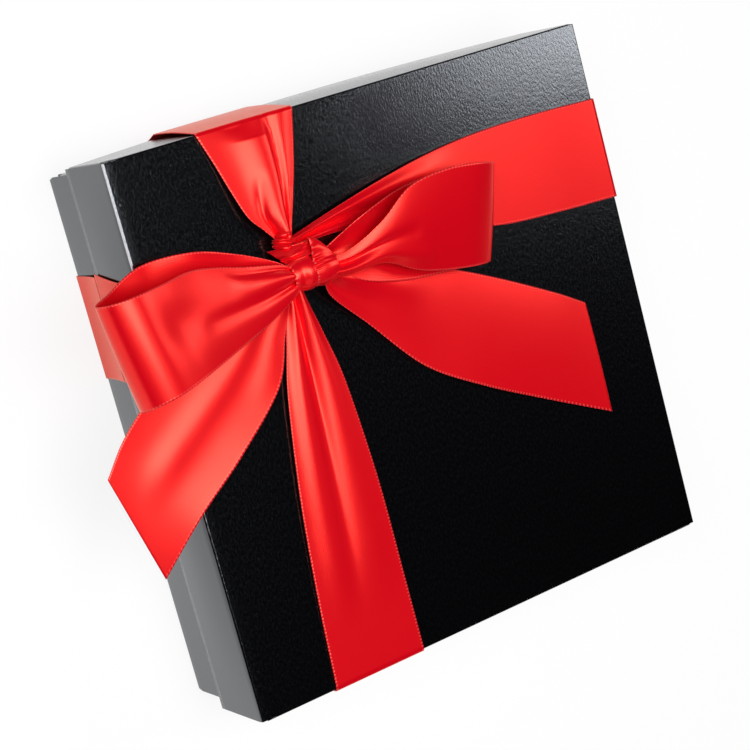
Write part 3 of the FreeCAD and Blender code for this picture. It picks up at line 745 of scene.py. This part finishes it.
def wrapSurface(values):
    # the pleated width is carried round the bow's line, drawn in at its ends like a barrel
    # and pressed in on top
    outward, sideways = heading(values["heading"])
    fold = throughRows(values["folds"], 6)
    angle = np.linspace(values["from"], values["to"], 110)
    a, x = np.meshgrid(angle, fold[:, 0], indexing="ij")
    depth = np.broadcast_to(fold[:, 1], a.shape)
    offset = x - values["middle"]
    reach = values["radius"] - values["waist"] * (offset / values["half"]) ** 2
    reach = reach + values["slant"] * offset - depth
    dentAngle, dentWide, dentX, dentLong, dentDepth = values["dent"]
    pressed = np.exp(-((a - dentAngle) / dentWide) ** 2 - ((x - dentX) / dentLong) ** 2)
    reach = reach - dentDepth * pressed * smooth(*values["outerLayer"], depth)
    x = values["middle"] + offset * (1 - values["narrow"] * smooth(*values["narrowing"], a))
    turn = np.radians(a)[..., None]
    around = sideways * np.cos(turn) + up * np.sin(turn)
    centre = knotPoint + up * ribbon["knotLift"] + sideways * values["aside"]
    return centre + outward * x[..., None] + around * reach[..., None], developed(fold)


knotNeck = {
    "heading": 2.0, "radius": 5.1, "swell": 0.7, "left": 1.3, "right": 10.5, "aside": 0.7,
    "from": -25.0, "to": 215.0,
    "fin": (14.0, 21.0, 6.6), "finLeft": 1.6, "finRight": 3.6, "finTaper": 0.3,
    "pleats": (1.1, 0.22, 15.0), "pleatsEnd": (95.0, 60.0),
}


def neckSurface(values):
    # the tucked end beside the wrap: a short sleeve round the bow's line that rises in a fin towards the tie,
    # with small pleats along its first edge
    outward, sideways = heading(values["heading"])
    a, s = np.meshgrid(np.linspace(values["from"], values["to"], 121), np.linspace(0, 1, 41), indexing="ij")
    finAngle, finWide, finHigh = values["fin"]
    fin = np.exp(-((a - finAngle) / finWide) ** 2)
    left, right = values["left"] + values["finLeft"] * fin, values["right"] - values["finRight"] * fin
    pleatHigh, pleatLong, pleatTurn = values["pleats"]
    pleat = pleatHigh * np.exp(-s / pleatLong) * np.cos(2 * math.pi * a / pleatTurn)
    pleat = pleat * smooth(*values["pleatsEnd"], a)
    reach = values["radius"] + values["swell"] * np.sin(math.pi * s)
    reach = reach + finHigh * fin * (1 - values["finTaper"] * s) + pleat
    turn = np.radians(a)[..., None]
    around = sideways * np.cos(turn) + up * np.sin(turn)
    x = left + (right - left) * s
    centre = knotPoint + up * ribbon["knotLift"] + sideways * values["aside"]
    surface = centre + outward * x[..., None] + around * reach[..., None]
    return surface, np.linspace(0, values["right"] - values["left"], 41)


knotTuck = {
    # back and front corner at the right end, back and front corner at the left end
    "right": ((-37.4, 55.4, 63.4), (-38.0, 51.6, 65.6)), "left": ((-50.4, 55.0, 57.0), (-48.2, 49.0, 64.2)),
    "arch": 1.4, "droop": 1.2, "pleats": 2.6, "pleatDepth": 0.75, "cloth": 20.0,
}


def tuckSurface(values):
    # the ribbon between tie and knot: straight between its two ends, arched upwards,
    # in pleats that fan out leftwards
    u, v = np.meshgrid(np.linspace(0, 1, 61), np.linspace(0, 1, 49), indexing="ij")
    (rightBack, rightFront), (leftBack, leftFront) = np.array(values["right"]), np.array(values["left"])
    rightEnd = rightBack + (rightFront - rightBack) * v[..., None]
    leftEnd = leftBack + (leftFront - leftBack) * v[..., None]
    lift = values["arch"] * 4 * u * (1 - u) - values["droop"] * smooth(0.75, 1.0, u)
    wave = 2 * math.pi * values["pleats"] * (v + 0.16 * np.sin(5 * v + 2 * u))
    lift = lift + values["pleatDepth"] * (0.3 + 0.7 * u) * (np.cos(wave) + 0.35 * np.cos(2.3 * wave + 4 * u))
    surface = rightEnd + (leftEnd - rightEnd) * u[..., None] + up * lift[..., None]
    return surface, np.linspace(0, values["cloth"], 49)


wrap, wrapAcross = wrapSurface(knotWrap)
knotSurfaces = [(wrap, wrapAcross), neckSurface(knotNeck), tuckSurface(knotTuck)]
ribbonPiece("bowKnot", knotSurfaces, ["ribbon_knot"], "ribbon")

tieGather = {
    "place": (-45.0, 57.2), "heading": 78.0, "wide": 3.7, "high": 4.2, "from": -50.0, "to": 236.0,
    "close": 0.82, "gather": 0.3, "lift": 3.5, "slack": 0.25, "drawnIn": 0.45, "lengthShare": 0.85,
    # radians of the sweep over which it is gathered and drawn in
    "gathering": (1.2, 3.2), "drawing": (2.9, 4.1),
    # across the gathered ribbon: place along the bundle, and depth under the top of its folds
    "folds": [
        (-4.3, 2.6), (-4.2, 1.0), (-3.6, 0.2), (-2.8, 0.0), (-2.0, 0.3), (-1.6, 1.2), (-1.5, 3.2),
        (-1.3, 3.2), (-1.2, 1.2), (-0.9, 0.1), (-0.4, -0.1), (0.0, 0.9), (0.1, 2.2), (0.2, 2.2),
        (0.3, 0.9), (0.6, -0.2), (1.0, 0.1), (1.3, 1.2), (1.4, 3.2), (1.6, 3.2), (1.7, 1.2),
        (2.1, 0.3), (2.9, 0.0), (3.6, 0.3), (4.1, 1.2), (4.2, 2.8)],
}


def tieSurface(values):
    # the gathered width is carried over the crossing bands in an arch
    along, across = heading(values["heading"])
    fold = throughRows(values["folds"], 5)
    sweep = np.radians(np.linspace(values["from"], values["to"], 70))
    a, x = np.meshgrid(sweep, fold[:, 0] * values["close"], indexing="ij")
    x = x * (1 - values["gather"] * smooth(*values["gathering"], a))
    depth = np.broadcast_to(fold[:, 1], a.shape)
    slack = values["slack"] * np.sin(3 * a + 1.3 * x)
    place = np.array([*values["place"], lidTop + values["lift"]])
    # the left end is drawn in under the arch
    drawn = 1 - values["drawnIn"] * smooth(*values["drawing"], a)
    wide, high = (values["wide"] - depth + slack) * drawn, (values["high"] - depth + slack) * drawn
    surface = place + along * x[..., None] - across * (wide * np.cos(a))[..., None]
    surface = surface + up * (high * np.sin(a))[..., None]
    return surface[::-1], developed(fold)


tie, tieAcross = tieSurface(tieGather)
ribbonPiece("bandTie", [(tie, tieAcross)], ["ribbon_tie"], "ribbon")
print("ribbon laid")


# Filling

paperLooks = {
    # colour, roughness, grain, bump, metallic
    "dividerCard": ((0.016, 0.015, 0.015, 1), 0.5, 1100.0, 0.3, 0.0),
    "linerPaper": ((0.42, 0.25, 0.09, 1), 0.34, 800.0, 0.4, 0.55),
    "padPaper": ((0.020, 0.016, 0.014, 1), 0.3, 600.0, 0.5, 0.0),
    "deepShare": 0.65, "rougher": 0.08, "bumpDistance": 0.0003,
}


def deeper(colour, share):
    return tuple(share * c for c in colour[:3]) + (1,)


def paperFinish(name):
    # coloured paper: its fibres darken the colour, and its grain stands out a little
    colour, roughness, grainScale, strength, metallic = paperLooks[name]
    material, tree, shader = newMaterial(name)
    place = objectPlace(tree)
    grain = useGroup(tree, paperGrain, Vector=place, Grain=grainScale)
    mask = ramp(tree, grain["Mask"], *maskRange)
    paper = mixColour(tree, mask, deeper(colour, paperLooks["deepShare"]), colour)
    rough = ramp(tree, grain["Mask"], *maskRange, roughness + paperLooks["rougher"], roughness)
    dress(tree, shader, paper, rough, grain["Height"], strength, paperLooks["bumpDistance"])
    shader.inputs["Metallic"].default_value = metallic
    return material


truffleLook = {
    "shell": (0.060, 0.022, 0.010, 1), "cocoa": (0.19, 0.085, 0.038, 1), "drifts": 420.0, "powder": 4200.0,
    "powderShare": 0.25, "dusted": (0.52, 0.74), "roughness": 0.45, "dustRougher": 0.42, "powderHigh": 0.5,
    "bump": (0.6, 0.0008),
}


def truffleFinish():
    # cocoa powder lies in drifts on the dark shell and takes its gloss away
    material, tree, shader = newMaterial("cocoaTruffle")
    look = truffleLook
    place = objectPlace(tree)
    drift = noise(tree, place, look["drifts"], 5.0, 0.65)
    powder = noise(tree, place, look["powder"], 2.0)
    dust = ramp(tree, maths(tree, "MULTIPLY_ADD", powder, look["powderShare"], drift), *look["dusted"])
    colour = mixColour(tree, dust, look["shell"], look["cocoa"])
    rough = maths(tree, "MULTIPLY_ADD", dust, look["dustRougher"], look["roughness"])
    height = maths(tree, "MULTIPLY_ADD", powder, look["powderHigh"], drift)
    dress(tree, shader, colour, rough, height, *look["bump"])
    return material


pralineLook = {
    "shell": (0.040, 0.014, 0.007, 1), "drizzle": (0.34, 0.15, 0.060, 1), "lines": 52.0, "wobble": 2.2,
    "lineEdge": (0.82, 0.95), "clouds": 260.0, "roughness": (0.26, 0.42), "cloudHigh": 0.15,
    "bump": (0.5, 0.0006),
}


def pralineFinish():
    # thin raised lines of milk chocolate are drizzled over the dark shell
    material, tree, shader = newMaterial("drizzledPraline")
    look = pralineLook
    place = objectPlace(tree)
    wave = addNode(tree, "TexWave", {"bands_direction": "DIAGONAL"},
                   Vector=place, Scale=look["lines"], Distortion=look["wobble"], Detail=1.0)
    drizzle = ramp(tree, wave.outputs["Fac"], *look["lineEdge"])
    colour = mixColour(tree, drizzle, look["shell"], look["drizzle"])
    cloud = noise(tree, place, look["clouds"], 3.0)
    rough = ramp(tree, cloud, *maskRange, *look["roughness"])
    height = maths(tree, "MULTIPLY_ADD", cloud, look["cloudHigh"], drizzle)
    dress(tree, shader, colour, rough, height, *look["bump"])
    return material


caramelLook = {
    "shell": (0.21, 0.085, 0.030, 1), "deepShare": 0.7, "salt": (0.80, 0.76, 0.70, 1), "grains": 420.0,
    "grainEdge": (0.24, 0.16), "patches": 150.0, "patchEdge": (0.56, 0.66), "clouds": 300.0,
    "roughness": (0.32, 0.46), "cloudHigh": 0.2, "bump": (0.6, 0.0006),
}


def caramelFinish():
    # salt grains are scattered in patches over milk chocolate
    material, tree, shader = newMaterial("saltedCaramel")
    look = caramelLook
    place = objectPlace(tree)
    cells = addNode(tree, "TexVoronoi", Vector=place, Scale=look["grains"])
    patches = noise(tree, place, look["patches"], 1.0)
    grains = ramp(tree, cells.outputs["Distance"], *look["grainEdge"])
    salt = maths(tree, "MULTIPLY", grains, ramp(tree, patches, *look["patchEdge"]))
    cloud = noise(tree, place, look["clouds"], 3.0)
    deep = deeper(look["shell"], look["deepShare"])
    shell = mixColour(tree, ramp(tree, cloud, *maskRange), deep, look["shell"])
    colour = mixColour(tree, salt, shell, look["salt"])
    rough = ramp(tree, cloud, *maskRange, *look["roughness"])
    height = maths(tree, "MULTIPLY_ADD", cloud, look["cloudHigh"], salt)
    dress(tree, shader, colour, rough, height, *look["bump"])
    return material


finishes = {
    "divider_card": paperFinish("dividerCard"), "liner_paper": paperFinish("linerPaper"),
    "pad_paper": paperFinish("padPaper"), "chocolate_truffles": truffleFinish(),
    "chocolate_pralines": pralineFinish(), "chocolate_caramels": caramelFinish(),
    "red_satin": satinMaterial, "black_board": boardMaterial,
}
for part in frame["record"]["subparts"]:
    node = frame["nodes"][part["node"]]
    node.data.materials.clear()
    node.data.materials.append(finishes[part["material_slot"]])
print("filling finished")


# Cushion pad

padQuilt = {
    "grid": 161, "pull": 1.6, "seamShare": 0.42, "edgeShare": 0.16, "crown": 0.12,
    "pitch": 19.0, "stitchWide": 2.2, "stitchDeep": 0.34,
}


def cushionPad(values):
    # a pillow: the sides are drawn in between the corners, the top is crowned and pressed down along crossing
    # diagonal stitch lines, the underside is flat except where it curves up to the seam
    count = values["grid"]
    even = np.linspace(-1, 1, count)
    line = np.sign(even) * (1 - (1 - np.abs(even)) ** 1.5)  # closer steps near the seam
    s, t = np.meshgrid(line, line, indexing="ij")
    middle, half = (padLow + padHigh) / 2, (padHigh - padLow) / 2
    x = middle[0] + s * (half[0] - values["pull"] * (1 - t ** 2))
    y = middle[1] + t * (half[1] - values["pull"] * (1 - s ** 2))
    inside = (1 - s ** 2) * (1 - t ** 2)
    full = np.clip(inside / values["edgeShare"], 0, 1)
    swell = np.sqrt(full * (2 - full))  # quarter circle from the seam to the flat of the pillow
    pitch = values["pitch"] * math.sqrt(2)
    stitches = np.zeros_like(s)
    for diagonal in (x + y, x - y):
        away = np.abs((diagonal / pitch) % 1.0 - 0.5) * pitch
        stitches = np.maximum(stitches, np.exp(-(away / values["stitchWide"]) ** 2))
    crown = 1 - values["crown"] * (1 - inside)
    seam = padLow[2] + values["seamShare"] * (padHigh[2] - padLow[2])
    top = seam + (padHigh[2] - seam) * swell * crown * (1 - values["stitchDeep"] * stitches)
    under = seam + (padLow[2] - seam) * swell
    upper = np.stack([x, y, top], axis=-1).reshape(-1, 3)
    lower = np.stack([x, y, under], axis=-1).reshape(-1, 3)
    # both faces share the ring of seam points
    index = np.arange(count * count).reshape(count, count)
    ring = np.zeros((count, count), bool)
    ring[[0, -1], :] = ring[:, [0, -1]] = True
    below = np.where(ring, index, 0)
    below[~ring] = count * count + np.arange((~ring).sum())
    quads = gridQuads(count, count)
    underQuads = below.reshape(-1)[quads][:, ::-1]
    points = np.vstack([upper, lower[~ring.reshape(-1)]])
    piece = makePiece("cushionPad", points, np.vstack([quads, underQuads]))
    piece.data.materials.append(finishes["pad_paper"])
    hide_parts("cushion_pad")
    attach(piece, "pad")


cushionPad(padQuilt)
print("pad laid")


# Studio

studio = {
    "floorSize": 40.0, "floorColour": (0.9, 0.9, 0.9, 1), "floorRoughness": 0.9,
    "room": (0.005, 0.005, 0.006, 1),
    # how much of the floor is plain white to the camera and in reflections
    "seenShare": 0.85, "mirroredShare": 0.95,
    # name, where it stands, where it points, size, watts
    "panels": [
        ("topPanel", (-0.16, 0.06, 1.20), (-0.03, 0.0, 0.05), (0.6, 0.6), 11.1),
        ("leftPanel", (-0.62, 0.24, 0.95), (-0.03, 0.0, 0.05), (0.5, 0.5), 5.3),
        ("rightPanel", (0.95, 0.15, 1.00), (0.05, 0.15, 0.05), (0.32, 0.42), 3.2),
        ("frontPanel", (-0.30, -1.20, 0.70), (0.0, 0.0, 0.05), (0.8, 0.8), 1.2),
    ],
}


def studioFloor():
    half = studio["floorSize"] / 2 / mm
    points = np.array([[-half, -half, 0.0], [half, -half, 0.0], [half, half, 0.0], [-half, half, 0.0]])
    floor = makePiece("floor", points, np.array([[0, 1, 2, 3]]))
    material, tree, shader = newMaterial("paleFloor")
    shader.inputs["Base Color"].default_value = studio["floorColour"]
    shader.inputs["Roughness"].default_value = studio["floorRoughness"]
    path = addNode(tree, "LightPath").outputs
    mirrored = maths(tree, "MULTIPLY", path["Is Glossy Ray"], studio["mirroredShare"])
    seen = maths(tree, "MULTIPLY", path["Is Camera Ray"], studio["seenShare"])
    seen = maths(tree, "MAXIMUM", seen, path["Is Transmission Ray"])
    glow = addNode(tree, "Emission", Color=(1, 1, 1, 1), Strength=1.0)
    mix = addNode(tree, "MixShader")
    setSocket(tree, mix.inputs[0], maths(tree, "MAXIMUM", seen, mirrored))
    tree.links.new(shader.outputs[0], mix.inputs[1])
    tree.links.new(glow.outputs[0], mix.inputs[2])
    output = next(node for node in tree.nodes if node.bl_idname == "ShaderNodeOutputMaterial")
    tree.links.new(mix.outputs[0], output.inputs[0])
    floor.data.materials.append(material)


def placed(place, right, upward):
    # where a lamp or a camera stands, from its own right and up directions
    matrix = np.eye(4)
    matrix[:3] = np.stack([right, upward, np.cross(right, upward), place], axis=1)
    return Matrix(matrix.tolist())


def studioLights():
    for name, place, target, size, watts in studio["panels"]:
        lamp = bpy.data.lights.new(name, "AREA")
        lamp.shape = "RECTANGLE"
        lamp.size, lamp.size_y = size
        lamp.energy = watts
        panel = bpy.data.objects.new(name, lamp)
        forward = unit(np.array(target) - np.array(place))
        right = unit(np.cross(forward, up))
        panel.matrix_world = placed(place, right, np.cross(right, forward))
        bpy.context.scene.collection.objects.link(panel)
    world = bpy.data.worlds.new("studioRoom")
    world.use_nodes = True
    world.node_tree.nodes["Background"].inputs[0].default_value = studio["room"]
    bpy.context.scene.world = world


photoCamera = {
    "place": (-0.3716, 0.1342, 0.6793), "right": (0.81930, -0.25541, 0.51333),
    "down": (-0.31286, -0.94942, 0.02696), "focalPixels": 2055.4, "framePixels": 750, "sensor": 36.0,
}


def studioCamera():
    values = photoCamera
    data = bpy.data.cameras.new("photoCamera")
    data.sensor_width = values["sensor"]
    data.lens = values["focalPixels"] / values["framePixels"] * values["sensor"]
    data.clip_start, data.clip_end = 0.01, 100.0
    view = bpy.data.objects.new("photoCamera", data)
    view.matrix_world = placed(values["place"], values["right"], -np.array(values["down"]))
    bpy.context.scene.collection.objects.link(view)
    bpy.context.scene.camera = view


studioFloor()
studioLights()
studioCamera()
bpy.context.scene.view_settings.view_transform = "Standard"
print("studio ready")
